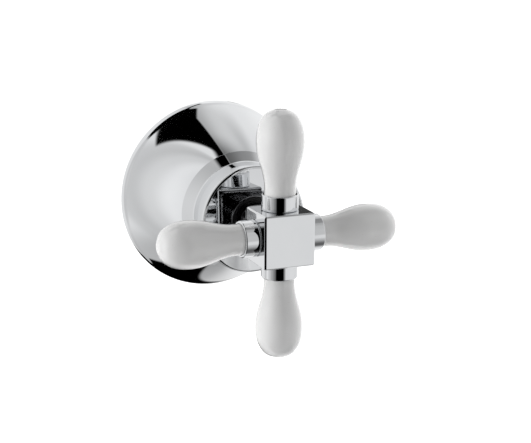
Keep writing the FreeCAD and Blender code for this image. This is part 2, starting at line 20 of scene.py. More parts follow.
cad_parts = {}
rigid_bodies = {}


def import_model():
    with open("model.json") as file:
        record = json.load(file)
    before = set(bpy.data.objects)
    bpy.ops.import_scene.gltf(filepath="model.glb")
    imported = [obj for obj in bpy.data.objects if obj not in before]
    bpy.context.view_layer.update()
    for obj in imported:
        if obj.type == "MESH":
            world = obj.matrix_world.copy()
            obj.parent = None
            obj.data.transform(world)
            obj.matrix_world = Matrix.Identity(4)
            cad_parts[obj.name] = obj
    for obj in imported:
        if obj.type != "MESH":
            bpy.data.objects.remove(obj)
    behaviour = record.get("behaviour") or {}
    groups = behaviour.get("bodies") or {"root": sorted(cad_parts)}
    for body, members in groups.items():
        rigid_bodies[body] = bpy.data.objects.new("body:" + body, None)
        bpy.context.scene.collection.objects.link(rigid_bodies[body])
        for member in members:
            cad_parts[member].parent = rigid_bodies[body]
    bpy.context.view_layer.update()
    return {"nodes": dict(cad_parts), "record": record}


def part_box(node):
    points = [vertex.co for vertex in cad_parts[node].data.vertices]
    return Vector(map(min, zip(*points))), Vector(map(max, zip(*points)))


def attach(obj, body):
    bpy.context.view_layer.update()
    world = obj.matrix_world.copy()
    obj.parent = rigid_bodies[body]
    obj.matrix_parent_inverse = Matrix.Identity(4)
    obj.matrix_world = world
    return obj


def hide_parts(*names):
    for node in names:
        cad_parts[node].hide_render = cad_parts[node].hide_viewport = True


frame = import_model()
nodes = frame["nodes"]
MM = 0.001

# %% [markdown]
# ## The camera
#
# The photograph was taken from the left of the valve and a little above it, with a
# long lens. The facts below are the angles, the distance and the lens in pixels.
# The hub isn't in the middle of the picture, so after the camera has been aimed at it,
# a small extra turn brings the hub to its own pixel, with the right perspective.

# %% Aim the camera
PHOTO_WIDTH, PHOTO_HEIGHT = 531, 443
CAMERA_LEFT = math.radians(23.02)
CAMERA_ABOVE = math.radians(14.91)
CAMERA_ROLL = math.radians(0.505)
CAMERA_DISTANCE = 0.4127
LENS_PIXELS = 1259.8
HUB_PIXEL = (279.7, 235.3)
SENSOR_MM = 36.0

lever_low, lever_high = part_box("lever_top")
hub_centre = Vector((0, (lever_low.y + lever_high.y) / 2, 0))
towards_camera = Vector((
    -math.sin(CAMERA_LEFT) * math.cos(CAMERA_ABOVE),
    -math.cos(CAMERA_LEFT) * math.cos(CAMERA_ABOVE),
    math.sin(CAMERA_ABOVE),
))
hub_in_view = Vector((
    (HUB_PIXEL[0] - PHOTO_WIDTH / 2) / LENS_PIXELS,
    (PHOTO_HEIGHT / 2 - HUB_PIXEL[1]) / LENS_PIXELS,
    -1,
))
camera_data = bpy.data.cameras.new("camera")
camera_data.sensor_width = SENSOR_MM
camera_data.lens = LENS_PIXELS * SENSOR_MM / PHOTO_WIDTH
camera_data.clip_start = 0.02
camera = bpy.data.objects.new("camera", camera_data)
bpy.context.scene.collection.objects.link(camera)
camera.location = hub_centre + towards_camera * CAMERA_DISTANCE
camera.rotation_mode = "QUATERNION"
aimed_at_hub = (-towards_camera).to_track_quat("-Z", "Y")
off_centre = hub_in_view.rotation_difference(Vector((0, 0, -1)))
rolled = Quaternion((0, 0, 1), CAMERA_ROLL)
camera.rotation_quaternion = aimed_at_hub @ off_centre @ rolled
bpy.context.scene.camera = camera
print("lens", round(camera_data.lens, 2), "mm, camera at", [round(x, 4) for x in camera.location])

# %% [markdown]
# ## Reckoning with shader sockets
#
# Every finish below is a small sum: a colour, plus a mask times another colour, and so
# on. Blender writes such a sum as a web of nodes. The class below lets Python write it
# instead. It holds one output socket, and each operator adds the Math node that does
# the same sum. The reflected forms are there so that 1 - mask works too. Any other
# node comes from its method `node`, which sets a node's own settings before its
# sockets, because a setting can change which sockets there are.

# %% A socket that Python can reckon with
class Link:
    """An output socket of a shader tree."""

    def __init__(self, tree, socket=None):
        self.tree = tree
        self.socket = socket

    def node(self, kind, settings, sockets, output=0):
        """Adds a node of any kind and returns one of its outputs."""
        made = self.tree.nodes.new("ShaderNode" + kind)
        for name, value in settings.items():
            if name == "stops":
                self.set_stops(made.color_ramp, value)
            else:
                setattr(made, name, value)
        for name, value in sockets.items():
            if isinstance(value, Link):
                self.tree.links.new(value.socket, made.inputs[name])
            else:
                made.inputs[name].default_value = value
        return Link(self.tree, made.outputs[output] if made.outputs else None)

    def set_stops(self, ramp, stops):
        """Gives a colour ramp its (place, grey level) stops."""
        ramp.interpolation = "EASE"
        while len(ramp.elements) < len(stops):
            ramp.elements.new(1.0)
        for stop, (place, level) in zip(ramp.elements, stops):
            stop.position = place
            stop.color = (level, level, level, 1)

    def math(self, operation, *values, clamp=False):
        return self.node("Math", {"operation": operation, "use_clamp": clamp}, dict(enumerate(values)))

    def __add__(self, other):
        return self.math("ADD", self, other)

    __radd__ = __add__

    def __mul__(self, other):
        return self.math("MULTIPLY", self, other)

    __rmul__ = __mul__

    def __sub__(self, other):
        return self.math("SUBTRACT", self, other)

    def __rsub__(self, other):
        return self.math("SUBTRACT", other, self)

    def __truediv__(self, other):
        return self.math("DIVIDE", self, other)

    def __abs__(self):
        return self.math("ABSOLUTE", self)

    def rise(self, start, end):
        """0 up to the start, 1 from the end on, and a smooth step between."""
        share = self.math("DIVIDE", self - start, end - start, clamp=True)
        return share * share * (3 - 2 * share)

    def fall(self, start, end):
        """1 up to the start, 0 from the end on, and a smooth step between."""
        return 1 - self.rise(start, end)

    def at_least(self, other):
        return self.math("MAXIMUM", self, other)

    def at_most(self, other):
        return self.math("MINIMUM", self, other)

    def blend(self, first, second):
        """A colour between two colours, with this value as the share of the second."""
        return self.node("Mix", {"data_type": "RGBA"}, {0: self, 6: first, 7: second}, output=2)

    def axes(self):
        """The three parts of a vector."""
        return [self.node("SeparateXYZ", {}, {0: self}, output=axis) for axis in "XYZ"]

    def surface(self, sockets):
        """The general shader, with a number, a colour or another Link for each socket."""
        return self.node("BsdfPrincipled", {}, sockets)


def material(name, recipe):
    """A material from a recipe: a function that takes a Link and returns the last shader."""
    made = bpy.data.materials.new(name)
    made.use_nodes = True
    made.node_tree.nodes.clear()
    link = Link(made.node_tree)
    link.node("OutputMaterial", {}, {"Surface": recipe(link)})
    return made


print("operators:", [name for name in vars(Link) if name.startswith("__") and name != "__init__"])

# %% [markdown]
# ## A white room for the eye, a plain light for the surfaces
#
# The background of the picture is pure white, yet the light on the valve has to stay
# moderate, or the glaze would burn out. Light Path tells the two apart: rays from the
# camera, and those that a shiny or clear surface sends on, meet a white of strength 1,
# and every other ray meets a softer grey that only lights the object.

# %% The world
AMBIENT = 0.37


def looked_at(link):
    """1 for rays of the camera, of reflections and of clear materials, and 0 for light."""
    rays = ("Camera", "Glossy", "Transmission")
    camera, glossy, clear = [link.node("LightPath", {}, {}, output=f"Is {ray} Ray") for ray in rays]
    return link.math("ADD", camera + glossy, clear, clamp=True)


world = bpy.data.worlds.new("white_room")
world.use_nodes = True
world.node_tree.nodes.clear()
sky = Link(world.node_tree)
brightness = AMBIENT + (1 - AMBIENT) * looked_at(sky)
sky.node("OutputWorld", {}, {"Surface": sky.node("Background", {}, {"Color": brightness, "Strength": 1.0})})
bpy.context.scene.world = world
bpy.context.scene.view_settings.view_transform = "Standard"
print("ambient light", AMBIENT)

# %% [markdown]
# ## The floor
#
# The valve hangs over a pale floor, far enough below for its soft shadow to fall
# outside the picture, and wide enough for its far edge to lie above the picture's top.
# The floor is white for the camera in the same way as the room, by a little emission
# that only camera rays meet, on top of an ordinary matt surface that keeps the shadow.

# %% Lay the floor
FLOOR_HEIGHT = -0.30
FLOOR_HALF_WIDTH = 6.0
FLOOR_COLOUR = (0.86, 0.86, 0.86, 1)
FLOOR_GLOW = 0.78


def floor_finish(link):
    matt = link.node("BsdfDiffuse", {}, {"Color": FLOOR_COLOUR})
    camera_ray = link.node("LightPath", {}, {}, output="Is Camera Ray")
    glow = link.node("Emission", {}, {"Color": camera_ray, "Strength": FLOOR_GLOW})
    return link.node("AddShader", {}, {0: matt, 1: glow})


def stage_object(name, mesh, finish):
    """Something of the studio, which isn't part of the valve."""
    made = bpy.data.objects.new(name, mesh)
    mesh.materials.append(finish)
    bpy.context.scene.collection.objects.link(made)
    return made


signs = ((-1, -1), (1, -1), (1, 1), (-1, 1))
corners = [(x * FLOOR_HALF_WIDTH, y * FLOOR_HALF_WIDTH, FLOOR_HEIGHT) for x, y in signs]
floor_mesh = bpy.data.meshes.new("floor")
floor_mesh.from_pydata(corners, [], [(0, 1, 2, 3)])
floor = stage_object("floor", floor_mesh, material("pale_floor", floor_finish))
floor.visible_glossy = False
print("floor at", FLOOR_HEIGHT, "m")

# %% [markdown]
# ## What the chrome sees
#
# Polished chrome has hardly any look of its own: it shows the studio. In the
# photograph the dome shows two big light boxes, which hang on the left and on the
# right and lean in over the valve, and a white backdrop behind it. All the rest is
# black: the gap in front, where the camera stands, the gap overhead, which widens to
# the back between the boxes and the top of the backdrop, and one under the backdrop.
#
# All that is a light tent here: one big ball round the valve that only reflected rays
# meet. Its brightness depends on the direction alone.
#
# Round the horizon the brightness is a colour ramp over the azimuth: 0 is straight in
# front and 90 to the right. Some places then lose a share of it: the upper and lower
# ends of the left box, the front of the right one, the low left of the backdrop, the
# foot of the right box, and one small dark panel behind on the right. A pair of numbers
# says where a fade starts and ends, in degrees.

# %% The tent round the horizon
FULL_TURN = 360.0
HORIZON = (
    (-180, 0.80), (-150, 0.90), (-129, 0.88), (-122, 0.70), (-118, 0.67), (-111, 0.80),
    (-103, 0.98), (-86, 0.76), (-68, 0.48), (-50, 0.22), (-40, 0.0),
    (2, 0.0), (10, 0.30), (20, 0.82), (60, 0.86), (108, 0.82), (128, 0.97), (155, 1.0), (180, 0.80),
)
LEFT_BOX_MIDDLE, RIGHT_BOX_SPOT = 8, -15
LEFT_BOX_LOSS, LEFT_BOX_FRONT_LOSS = 0.10, 0.26
RIGHT_BOX_FRONT_LOSS, RIGHT_BOX_FOOT_LOSS = 0.24, 0.50
BACKDROP_LOW_LEFT_LOSS = 0.38
DARK_PANEL_LOSS = 0.95
FLOOR_SHARE, FLOOR_SHARE_SIDEWAYS = 0.16, 0.80
LEFT_BOX_BACK, LEFT_BOX_FRONT = (-128, -118), (-45, -30)
LEFT_BOX_ENDS, LEFT_BOX_LOSS_FADE = (0, 75), (-106, -86)
RIGHT_BOX_FRONT, RIGHT_BOX_SIDE, RIGHT_BOX_ENDS = (0, 10), (30, 60), (5, 14)
LOW_LEFT_AZIMUTH, LOW_LEFT_ELEVATION = (-128, -104), (-46, -24)
PANEL_LEFT, PANEL_RIGHT, PANEL_FOOT, PANEL_TOP = (150, 153), (161, 164), (10, 13), (18, 21)
FOOT_AZIMUTH, FOOT_ELEVATION = (148, 166), (-30, -12)
FLOOR_FADE, SIDEWAYS_FADE = (-58, -26), (60, 115)


def horizon_level(azimuth, elevation):
    """The light boxes and the backdrop round the horizon, and how they fade up and down."""
    stops = [(angle / FULL_TURN + 0.5, level) for angle, level in HORIZON]
    walls = azimuth.node("ValToRGB", {"stops": stops}, {0: azimuth * (1 / FULL_TURN) + 0.5})
    left_box = azimuth.rise(*LEFT_BOX_BACK) * azimuth.fall(*LEFT_BOX_FRONT)
    left_box_loss = LEFT_BOX_LOSS + LEFT_BOX_FRONT_LOSS * azimuth.rise(*LEFT_BOX_LOSS_FADE)
    walls = walls * (1 - left_box * abs(elevation - LEFT_BOX_MIDDLE).rise(*LEFT_BOX_ENDS) * left_box_loss)
    right_box = azimuth.rise(*RIGHT_BOX_FRONT) * azimuth.fall(*RIGHT_BOX_SIDE)
    right_box_ends = abs(elevation - RIGHT_BOX_SPOT).rise(*RIGHT_BOX_ENDS)
    walls = walls * (1 - RIGHT_BOX_FRONT_LOSS * right_box * right_box_ends)
    low_left = azimuth.fall(*LOW_LEFT_AZIMUTH) * elevation.fall(*LOW_LEFT_ELEVATION)
    walls = walls * (1 - BACKDROP_LOW_LEFT_LOSS * low_left * (1 - left_box))
    dark_panel = azimuth.rise(*PANEL_LEFT) * azimuth.fall(*PANEL_RIGHT)
    dark_panel = dark_panel * elevation.rise(*PANEL_FOOT) * elevation.fall(*PANEL_TOP)
    walls = walls * (1 - DARK_PANEL_LOSS * dark_panel)
    right_box_foot = azimuth.rise(*FOOT_AZIMUTH) * elevation.fall(*FOOT_ELEVATION)
    walls = walls * (1 - RIGHT_BOX_FOOT_LOSS * right_box_foot)
    above_floor = elevation.rise(*FLOOR_FADE)
    floor_share = FLOOR_SHARE + FLOOR_SHARE_SIDEWAYS * abs(azimuth).rise(*SIDEWAYS_FADE)
    return walls * (above_floor + (1 - above_floor) * floor_share)


print(len(HORIZON), "stops round the horizon")

# %% [markdown]
# ## The edges overhead and below
#
# The straight edges of the boxes are easiest to write on a flat ceiling and a flat
# floor one unit away. A direction meets them at x / |z| across and y / |z| back, and
# there a straight edge is a weighted sum of the two: its heading says which way it
# rises, 0 to the right and 90 to the back. Where two edges meet, their masks are
# multiplied. A corner that isn't square, such as the one of the right box, comes from
# a place that only starts to count beyond a limit.

# %% The tent overhead and below
TENT_RADIUS = 1.5
TENT_LEVEL = 1.14
LEFT_BOX_BACK_EDGE = {"heading": 64.84, "start": 0.138, "end": 0.175}
LEFT_BOX_FRONT_EDGE = {"heading": -29.75, "start": -0.275, "end": -0.18}
RIGHT_BOX_BEND, BEND_SLOPE, BEND_DEPTH = 0.53, 0.95, 0.24
RIGHT_BOX_EDGE_WIDTH = 0.035
RIGHT_BOX_FOOT_EDGE = {"heading": -31.22, "start": -0.3506, "end": -0.3164}
BACKDROP_SLANT, FLOOR_CLOTH_SLANT = 1.2, 1.1
BACKDROP_TOP, BACKDROP_FOOT = (0.63, 0.68), (1.6, 2.3)
LEFT_BOX_FOOT, FLOOR_CLOTH_EDGE = (-0.46, -0.40), (0.46, 0.54)
CEILING_GLOW, CEILING_GLOW_OUTWARDS, CEILING_GLOW_ENDS, CEILING_GLOW_LOW = 0.13, 0.23, 0.45, 0.35
CEILING_DIMMEST, CEILING_ENDS = -0.05, (0.20, 0.46)
CEILING_OUTWARDS, ENDS_OUTWARDS, ENDS_LOSS = (0.0, 0.45), (0.2, 0.7), 0.5
CEILING_LOW, CEILING_FADE = (40, 56), (20, 40)


def edge(across, back, heading, start, end):
    """A soft straight edge, which rises from 0 to 1 towards its heading in degrees."""
    angle = math.radians(heading)
    return (math.cos(angle) * across + math.sin(angle) * back).rise(start, end)


def right_box_overhead(across, back, elevation):
    """The right box is dimmest over the valve, and brighter outwards, lower down and at its ends."""
    ends = abs(back - CEILING_DIMMEST).rise(*CEILING_ENDS) * (1 - ENDS_LOSS * across.rise(*ENDS_OUTWARDS))
    glow = CEILING_GLOW + CEILING_GLOW_OUTWARDS * across.rise(*CEILING_OUTWARDS)
    glow = glow + CEILING_GLOW_ENDS * ends + CEILING_GLOW_LOW * elevation.fall(*CEILING_LOW)
    inside = across.rise(0.0, RIGHT_BOX_EDGE_WIDTH) * elevation.rise(*CEILING_FADE)
    return 1 - inside + inside * glow


def gap_overhead(across, back):
    """The black between the left box, the right box and the top of the backdrop."""
    left_box = 1 - edge(across, back, **LEFT_BOX_BACK_EDGE)
    left_box = left_box * (1 - edge(across, back, **LEFT_BOX_FRONT_EDGE))
    bend = BEND_SLOPE * (back.at_least(RIGHT_BOX_BEND) - RIGHT_BOX_BEND)
    right_box = (across - bend.at_most(BEND_DEPTH)).rise(0.0, RIGHT_BOX_EDGE_WIDTH)
    backdrop = (back - BACKDROP_SLANT * across.at_least(0.0)).rise(*BACKDROP_TOP)
    return (1 - left_box) * (1 - right_box) * (1 - backdrop)


def gap_below(across, back):
    """The black under the backdrop, between the feet of the two boxes."""
    left_box = across.fall(*LEFT_BOX_FOOT)
    right_box = edge(across, back, **RIGHT_BOX_FOOT_EDGE)
    floor_cloth = (back + FLOOR_CLOTH_SLANT * across.at_most(0.0)).fall(*FLOOR_CLOTH_EDGE)
    backdrop = back.rise(*BACKDROP_FOOT)
    return (1 - left_box) * (1 - right_box) * (1 - floor_cloth) * (1 - backdrop)


def tent_finish(link):
    place = link.node("TexCoord", {}, {}, output="Object")
    x, y, z = link.node("VectorMath", {"operation": "NORMALIZE"}, {0: place}).axes()
    azimuth = link.math("ARCTAN2", x, 0 - y) * math.degrees(1)
    elevation = link.math("ARCSINE", z) * math.degrees(1)
    across, back = x / abs(z), y / abs(z)
    upper = elevation.rise(-1, 1)
    gap = upper * gap_overhead(across, back) + (1 - upper) * gap_below(across, back)
    level = horizon_level(azimuth, elevation) * right_box_overhead(across, back, elevation) * (1 - gap)
    return link.node("Emission", {}, {"Color": level, "Strength": TENT_LEVEL})


tent_shape = bmesh.new()
bmesh.ops.create_icosphere(tent_shape, subdivisions=4, radius=TENT_RADIUS)
tent_mesh = bpy.data.meshes.new("light_tent")
tent_shape.to_mesh(tent_mesh)
tent_shape.free()
tent = stage_object("light_tent", tent_mesh, material("tent_cloth", tent_finish))
tent.location = hub_centre
tent.visible_camera = tent.visible_diffuse = tent.visible_transmission = tent.visible_shadow = False
print("tent radius", TENT_RADIUS, "m")

# %% [markdown]
# ## The lamps
#
# Two large square lamps give the white glaze its form. One hangs on the left, where
# the camera stands. The other hangs on the right and further back, and is stronger,
# because the camera sees only a narrow edge of what it lights. The darkest band of
# each lever lies between the two. The chrome doesn't see them, because it has the tent.

# %% Hang the lamps
LAMP_DISTANCE = 1.1
LAMPS = {
    "left_lamp": {"azimuth": -96, "elevation": 14, "power": 8.2, "width": 0.9},
    "right_lamp": {"azimuth": 108, "elevation": 18, "power": 10.5, "width": 0.8},
}

for name, lamp in LAMPS.items():
    azimuth, elevation = math.radians(lamp["azimuth"]), math.radians(lamp["elevation"])
    towards_lamp = Vector((
        math.sin(azimuth) * math.cos(elevation),
        -math.cos(azimuth) * math.cos(elevation),
        math.sin(elevation),
    ))
    light = bpy.data.lights.new(name, "AREA")
    light.energy = lamp["power"]
    light.size = lamp["width"]
    hung = bpy.data.objects.new(name, light)
    hung.location = hub_centre + towards_lamp * LAMP_DISTANCE
    hung.rotation_mode = "QUATERNION"
    hung.rotation_quaternion = towards_lamp.to_track_quat("Z", "Y")
    hung.visible_glossy = False
    bpy.context.scene.collection.objects.link(hung)
    print(name, lamp["power"], "W")

# %% [markdown]
# ## Marks of making
#
# A few helpers serve every finish. Noise at the right scale stands for the small
# faults of a surface. A bump lifts the surface by a real depth, so that a scratch of a
# hundredth of a millimetre stays one. Most metal pieces here were turned: a lathe
# leaves fine rings round the spindle, which are noise along the axis and along the
# radius, but none around it. And the last helper tells the outside of a shell from
# its inside.

# %% Helpers for surfaces
ROOM_WEIGHT = 1.2


def object_place(link):
    return link.node("TexCoord", {}, {}, output="Object")


def noise(link, place, scale, detail=2.0, roughness=0.5):
    sockets = {"Vector": place, "Scale": scale, "Detail": detail, "Roughness": roughness}
    return link.node("TexNoise", {}, sockets)


def bump(link, height, depth):
    """A surface that rises by the depth, in metres, where the height goes from 0 to 1."""
    return link.node("Bump", {}, {"Height": height, "Strength": 1.0, "Distance": depth})


def spindle_radius(place):
    """The distance from the spindle's axis."""
    x, _, z = place.axes()
    return place.math("SQRT", x * x + z * z)


def lathe_rings(link, place, scale):
    """Noise that runs in rings round the spindle."""
    _, y, _ = place.axes()
    ringed = link.node("CombineXYZ", {}, {"X": spindle_radius(place), "Y": y})
    return noise(link, ringed, scale, detail=3.0, roughness=0.6)


def facing_out(link, place):
    """Above 0 where a surface faces away from the axis or to the room, below 0 inside."""
    x, _, z = place.axes()
    normal_x, normal_y, normal_z = link.node("TexCoord", {}, {}, output="Normal").axes()
    outwards = (x * normal_x + z * normal_z) / spindle_radius(place)
    return outwards - ROOM_WEIGHT * normal_y


print("rings, bumps and noise ready")

# %% [markdown]
# ## Chrome
#
# Bright chrome plate is a mirror with a slightly cool tint. The small faults make it
# look like metal: the polishing mop leaves faint swirls, so the gloss isn't even, and
# the plate has a very slight wave.
#
# Inside, where nobody polishes, the plate is thin and dull over the rings of the
# spinning tool. The escutcheon and the sleeve are one mesh each, so the same recipe
# tells the two sides apart by the direction in which the surface faces.

# %% Mirror chrome
CHROME = (0.70, 0.71, 0.72, 1)
CHROME_SHADOW = (0.68, 0.69, 0.705, 1)
DULL_PLATE = (0.42, 0.42, 0.41, 1)
DULL_PLATE_DARK = (0.30, 0.30, 0.30, 1)
WAVE_DEPTH, RING_DEPTH, CLOUD_DEPTH = 0.004, 0.02, 0.01


def polish(link, place):
    """The colour, the roughness and the height in mm of a polished face."""
    swirl = noise(link, place, 55.0, detail=4.0)
    wave = noise(link, place, 90.0, detail=0.0)
    colour = swirl.rise(0.35, 0.75).blend(CHROME, CHROME_SHADOW)
    return colour, 0.02 + 0.03 * swirl, wave * WAVE_DEPTH


def mirror_chrome(link):
    colour, roughness, height = polish(link, object_place(link))
    return link.surface({
        "Metallic": 1.0,
        "Base Color": colour,
        "Roughness": roughness,
        "Normal": bump(link, height, MM),
    })


def chrome_dull_inside(link):
    place = object_place(link)
    bright, gloss, wave = polish(link, place)
    rings = lathe_rings(link, place, 900.0)
    cloud = noise(link, place, 160.0, detail=5.0)
    polished = facing_out(link, place).rise(-0.1, 0.1)
    dull = cloud.rise(0.35, 0.7).blend(DULL_PLATE, DULL_PLATE_DARK)
    height = polished * wave + (1 - polished) * (rings * RING_DEPTH + cloud * CLOUD_DEPTH)
    return link.surface({
        "Metallic": 1.0,
        "Base Color": polished.blend(dull, bright),
        "Roughness": polished * gloss + (1 - polished) * (0.32 + 0.2 * cloud),
        "Normal": bump(link, height, MM),
    })


chrome = material("mirror_chrome", mirror_chrome)
plated_shell = material("chrome_dull_inside", chrome_dull_inside)
print("chrome ready")

# %% [markdown]
# ## Porcelain
#
# The levers are slip-cast porcelain under a clear glossy glaze. The body is a soft
# white, hardly warmer in the thick parts, and the glaze on top has a faint ripple like
# orange peel, which shows only in its reflections. Here and there a pinhole or a tiny
# speck of clay is left. So the colour sits in the base, and the gloss in a coat.

# %% White glaze
PORCELAIN, PORCELAIN_WARM = (0.80, 0.80, 0.80, 1), (0.83, 0.83, 0.825, 1)
CLAY_SPECK = (0.55, 0.50, 0.44, 1)


def white_glaze(link):
    place = object_place(link)
    cloud = noise(link, place, 70.0, detail=3.0)
    ripple = noise(link, place, 320.0, detail=1.0)
    specks = noise(link, place, 2600.0, detail=0.0).rise(0.80, 0.84)
    body = cloud.rise(0.3, 0.7).blend(PORCELAIN, PORCELAIN_WARM)
    return link.surface({
        "Base Color": (0.25 * specks).blend(body, CLAY_SPECK),
        "Roughness": 0.10 + 0.08 * ripple,
        "Coat Weight": 1.0,
        "Coat Roughness": 0.02,
        "Normal": bump(link, ripple, 0.006 * MM),
    })


glaze = material("white_glaze", white_glaze)
print("glaze ready")

# %% [markdown]
# ## Brass
#
# The valve's body is sand-cast, so its skin is grainy and browned, and only the faces
# that a tool has cut shine yellow: the ends, the ports and the neck's front. Masks
# from the body's own sizes find those faces. The spindle, the piston, the headwork and
# the extension are turned from bar: fine rings, a warm gleam, and a breath of tarnish.

# %% Cast and turned brass
PIPE_DEPTH, BODY_HALF_LENGTH, NECK_FRONT_REACH = 20.0, 24.0, 6.0
PORT_THREAD_RADIUS, PORT_THREAD_DEPTH, THREAD_HEIGHT = 9.316, 12.0, 1.0
THREAD_FLOOR = BODY_HALF_LENGTH - PORT_THREAD_DEPTH
CUT_DEPTH, CUT_FADE = 0.04, 0.12
FLOOR_DEPTH, PORT_FADE = (0.4, 0.1), (10.55, 10.70)
BRASS = (0.80, 0.60, 0.28, 1)
BRASS_TARNISH = (0.58, 0.40, 0.17, 1)
BRASS_SKIN = (0.50, 0.36, 0.18, 1)
BRASS_SKIN_DARK = (0.27, 0.18, 0.09, 1)


def turned_brass(link):
    place = object_place(link)
    rings = lathe_rings(link, place, 1500.0)
    tarnish = noise(link, place, 120.0, detail=4.0)
    return link.surface({
        "Metallic": 1.0,
        "Base Color": tarnish.rise(0.4, 0.75).blend(BRASS, BRASS_TARNISH),
        "Roughness": 0.18 + 0.14 * rings + 0.12 * tarnish,
        "Normal": bump(link, rings, 0.012 * MM),
    })


def cast_brass(link):
    place = object_place(link)
    x, y, z = place.axes()
    pipe_y = y - PIPE_DEPTH * MM
    pipe_radius = link.math("SQRT", x * x + pipe_y * pipe_y)
    port_face = abs(z).rise((BODY_HALF_LENGTH - CUT_FADE) * MM, (BODY_HALF_LENGTH - CUT_DEPTH) * MM)
    in_port = abs(z).rise(*[(THREAD_FLOOR - depth) * MM for depth in FLOOR_DEPTH])
    in_port = in_port * pipe_radius.fall(*[radius * MM for radius in PORT_FADE])
    neck_face = y.fall((CUT_DEPTH - NECK_FRONT_REACH) * MM, (CUT_FADE - NECK_FRONT_REACH) * MM)
    cut = port_face.at_least(in_port).at_least(neck_face)
    sand = noise(link, place, 1500.0, detail=4.0, roughness=0.65)
    blotch = noise(link, place, 130.0, detail=5.0)
    across_pipe = link.node("CombineXYZ", {}, {"X": pipe_radius, "Z": z})
    rings = noise(link, across_pipe, 1800.0, detail=2.0)
    skin = blotch.rise(0.35, 0.7).blend(BRASS_SKIN, BRASS_SKIN_DARK)
    return link.surface({
        "Metallic": 0.75 + 0.25 * cut,
        "Base Color": cut.blend(skin, BRASS),
        "Roughness": cut * (0.2 + 0.12 * rings) + (1 - cut) * (0.46 + 0.25 * sand),
        "Normal": bump(link, cut * rings * 0.012 + (1 - cut) * sand * 0.09, MM),
    })


brass_turned = material("turned_brass", turned_brass)
brass_cast = material("cast_brass", cast_brass)
print("brass ready")

# %% [markdown]
# ## Steel, rubber, fibre and plastic
#
# The screws, studs and the clip are plain stainless steel, drawn and lightly brushed.
# The rubber is moulded: matt, with a fine grain and a dusting of chalk. The gasket
# under the headwork is pressed fibre, which shows its strands. The thrust ring is a
# milky slippery plastic and the guide bush a satin black one. That black is also
# painted shade, for the dark gap between the collar's hole and the handle's boss.

# %% The small finishes
STEEL, STEEL_STAIN = (0.60, 0.60, 0.61, 1), (0.46, 0.46, 0.47, 1)
RUBBER, CHALK = (0.022, 0.022, 0.023, 1), (0.16, 0.16, 0.155, 1)
FIBRE, FIBRE_STRAND = (0.50, 0.17, 0.10, 1), (0.66, 0.33, 0.22, 1)
MILKY, MILKY_CLOUD = (0.84, 0.84, 0.82, 1), (0.78, 0.77, 0.74, 1)
# The guide bush's satin black is partly its own colour and partly painted shade for the dark gap round the
# boss.
SATIN_BLACK_AND_SHADE, DUST = (0.008, 0.008, 0.009, 1), (0.12, 0.12, 0.12, 1)


def plain_steel(link):
    place = object_place(link)
    strands = link.node("Mapping", {}, {"Vector": place, "Scale": (1.0, 0.12, 1.0)})
    brushed = noise(link, strands, 2400.0, detail=2.0)
    stain = noise(link, place, 260.0, detail=3.0)
    return link.surface({
        "Metallic": 1.0,
        "Base Color": stain.rise(0.4, 0.8).blend(STEEL, STEEL_STAIN),
        "Roughness": 0.22 + 0.2 * brushed,
        "Normal": bump(link, brushed, 0.006 * MM),
    })


def matt_rubber(link):
    place = object_place(link)
    grain = noise(link, place, 3200.0, detail=3.0, roughness=0.6)
    chalk = noise(link, place, 210.0, detail=5.0).rise(0.52, 0.78)
    return link.surface({
        "Base Color": (0.35 * chalk).blend(RUBBER, CHALK),
        "Roughness": 0.55 + 0.3 * grain,
        "Normal": bump(link, grain, 0.03 * MM),
    })


def pressed_fibre(link):
    place = object_place(link)
    strands = link.node("Mapping", {}, {"Vector": place, "Scale": (1.0, 3.0, 0.18)})
    strand = noise(link, strands, 2600.0, detail=4.0, roughness=0.7)
    return link.surface({
        "Base Color": strand.rise(0.3, 0.75).blend(FIBRE, FIBRE_STRAND),
        "Roughness": 0.6 + 0.3 * strand,
        "Normal": bump(link, strand, 0.04 * MM),
    })


def milky_plastic(link):
    place = object_place(link)
    cloud = noise(link, place, 500.0, detail=2.0)
    return link.surface({
        "Base Color": cloud.rise(0.3, 0.7).blend(MILKY, MILKY_CLOUD),
        "Roughness": 0.35 + 0.15 * cloud,
        "Normal": bump(link, cloud, 0.01 * MM),
    })


def black_plastic(link):
    place = object_place(link)
    rings = lathe_rings(link, place, 1100.0)
    dust = noise(link, place, 700.0, detail=4.0).rise(0.55, 0.8)
    return link.surface({
        "Base Color": (0.12 * dust).blend(SATIN_BLACK_AND_SHADE, DUST),
        "Roughness": 0.38 + 0.2 * rings,
        "Normal": bump(link, rings, 0.01 * MM),
    })


finishes = {
    "chrome": chrome,
    "porcelain": glaze,
    "brass": brass_turned,
    "steel": material("plain_steel", plain_steel),
    "rubber": material("matt_rubber", matt_rubber),
    "fibre": material("pressed_fibre", pressed_fibre),
    "plastic_white": material("milky_plastic", milky_plastic),
    "plastic_black": material("black_plastic", black_plastic),
}
print(len(finishes), "finishes")

# %% [markdown]
# ## A finish for every node
#
# The model's record names a slot for each piece, such as brass or rubber, and the
# slots above have one finish each. So a loop dresses all the nodes. One piece gets a
# finish of its own: the cover sleeve is plated like the escutcheon, bright outside and
# dull within.

# %% Give every CAD node its finish
for subpart in frame["record"]["subparts"]:
    slots = nodes[subpart["node"]].data.materials
    slots.clear()
    slots.append(finishes[subpart["material_slot"]])
nodes["cover_sleeve"].data.materials[0] = plated_shell

# %% [markdown]
# ## Tools for new pieces
#
# Five pieces need more shape than the CAD solid has: the escutcheon and the collar,
# whose mirror skin shows every corner, the hub, whose edges catch the light in their
# own way, the cast body, and the gasket on the wall. They are made from outlines: a
# lathe turns one round an axis, and a prism pushes one along it. An exact Boolean
# joins and cuts them, as a machinist would.

# %% Outlines, lathe and Booleans
ROUND_STEPS = 128


def link_object(name, mesh):
    made = bpy.data.objects.new(name, mesh)
    bpy.context.scene.collection.objects.link(made)
    return made


